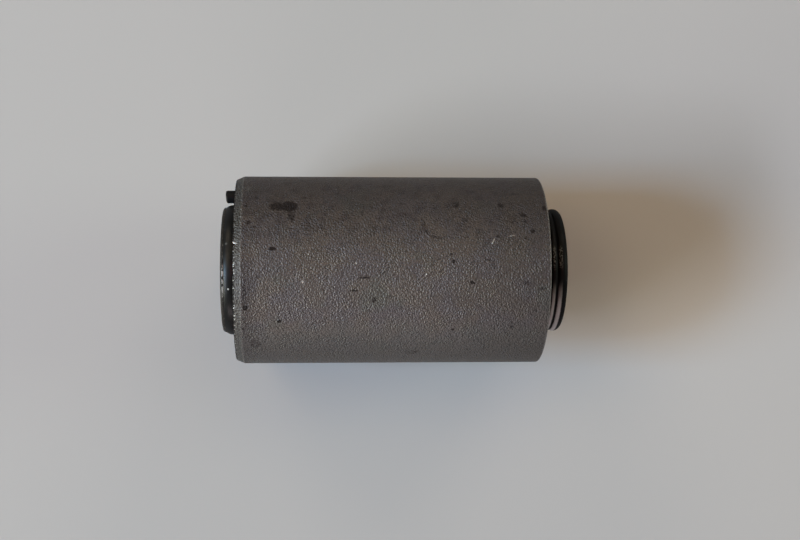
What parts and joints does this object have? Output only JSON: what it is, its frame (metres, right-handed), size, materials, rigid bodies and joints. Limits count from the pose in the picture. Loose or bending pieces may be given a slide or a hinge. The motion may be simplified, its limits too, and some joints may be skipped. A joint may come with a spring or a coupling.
{
  "type": "rubber metal bush",
  "caption": "Steel sleeve joined by bonded rubber to a thick inner tube that stands out past it at each end; a pressed-in, bolted pivot that damps vibration.",
  "frame": {"origin": "centre of the inner tube's lower end face, the end with the ribbed collar", "axes": "+Z along the bush's axis towards the lead-in end; +X from the axis towards the moulded nub"},
  "size_m": [0.04, 0.04, 0.0721],
  "materials": {
    "sleeve_steel": "grey-brown phosphate coat over fine pebbled steel, dull",
    "black_rubber": "moulded, smooth, slightly glossy",
    "tube_steel": "phosphate coat, worn bright at the edges"
  },
  "bodies": {
    "root": {"outer_sleeve": "sleeve_steel", "rubber": "black_rubber", "inner_tube": "tube_steel"}
  },
  "joints": []
}
